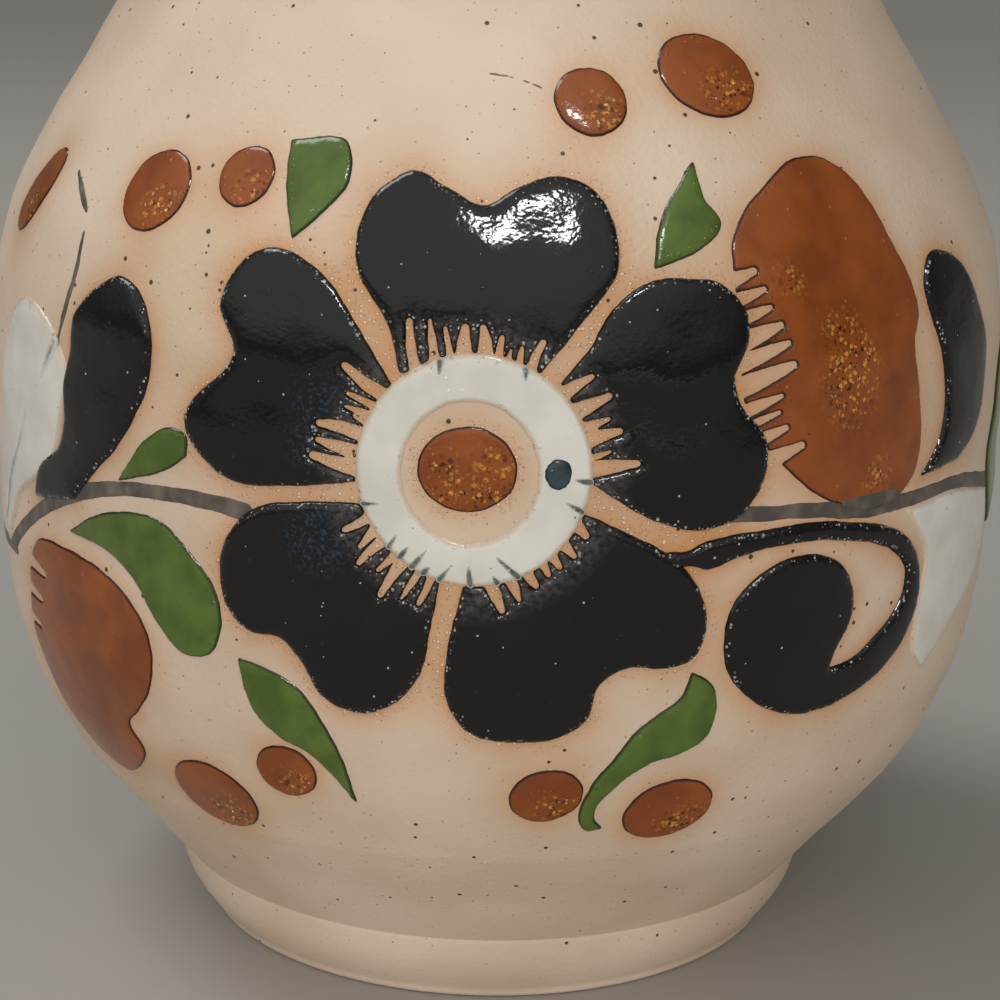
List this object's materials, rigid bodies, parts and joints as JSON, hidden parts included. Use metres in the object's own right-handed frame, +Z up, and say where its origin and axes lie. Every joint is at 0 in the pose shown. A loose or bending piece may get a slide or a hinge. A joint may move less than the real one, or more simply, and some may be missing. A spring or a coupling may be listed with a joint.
{
  "type": "mexican olla",
  "caption": "Small round-bellied stoneware pot on a low foot, with a short flared neck, a rolled rim and combed flowers in raised coloured glazes.",
  "frame": {"origin": "centre of the standing ring, on the surface that the pot stands on", "axes": "+Z up along the axis of the pot; the main flower faces -Y; +X is to the viewer's right"},
  "size_m": [0.0807, 0.0807, 0.1007],
  "materials": {
    "clay": "dry eggshell stoneware with fine iron specks",
    "dark_glaze": "thick glossy blue-black glaze",
    "brown_glaze": "glossy amber-brown glaze with golden crystals",
    "green_glaze": "satin leaf-green glaze",
    "white_glaze": "glossy warm-white glaze",
    "teal_glaze": "glossy dark teal glaze",
    "grey_wash": "thin grey oxide wash"
  },
  "bodies": {
    "root": {"foot_ring": "clay", "lower_bowl": "clay", "shoulder": "clay", "neck": "clay", "rim": "clay", "top_petal": "dark_glaze", "upper_left_petal": "dark_glaze", "upper_right_petal": "dark_glaze", "lower_right_petal": "dark_glaze", "lower_left_petal": "dark_glaze", "left_lobe": "dark_glaze", "right_lobe": "dark_glaze", "scroll": "dark_glaze", "back_lobe_1": "dark_glaze", "back_lobe_2": "dark_glaze", "back_lobe_3": "dark_glaze", "flower_eye": "brown_glaze", "right_bud": "brown_glaze", "left_bud": "brown_glaze", "berries": "brown_glaze", "back_berries": "brown_glaze", "back_eye": "brown_glaze", "upper_left_leaf": "green_glaze", "upper_right_leaf": "green_glaze", "small_left_leaf": "green_glaze", "middle_left_leaf": "green_glaze", "lower_left_leaf": "green_glaze", "lower_right_leaf": "green_glaze", "far_right_leaf": "green_glaze", "back_leaf_1": "green_glaze", "back_leaf_2": "green_glaze", "back_leaf_3": "green_glaze", "back_leaf_4": "green_glaze", "white_ring": "white_glaze", "white_bud": "white_glaze", "white_leaf": "white_glaze", "back_petal_1": "white_glaze", "back_petal_2": "white_glaze", "back_petal_3": "white_glaze", "back_petal_4": "white_glaze", "back_petal_5": "white_glaze", "ring_dot": "teal_glaze", "left_stem": "grey_wash", "right_stem": "grey_wash", "back_right_stem": "grey_wash", "back_left_stem": "grey_wash", "bud_strokes": "grey_wash"}
  },
  "joints": []
}
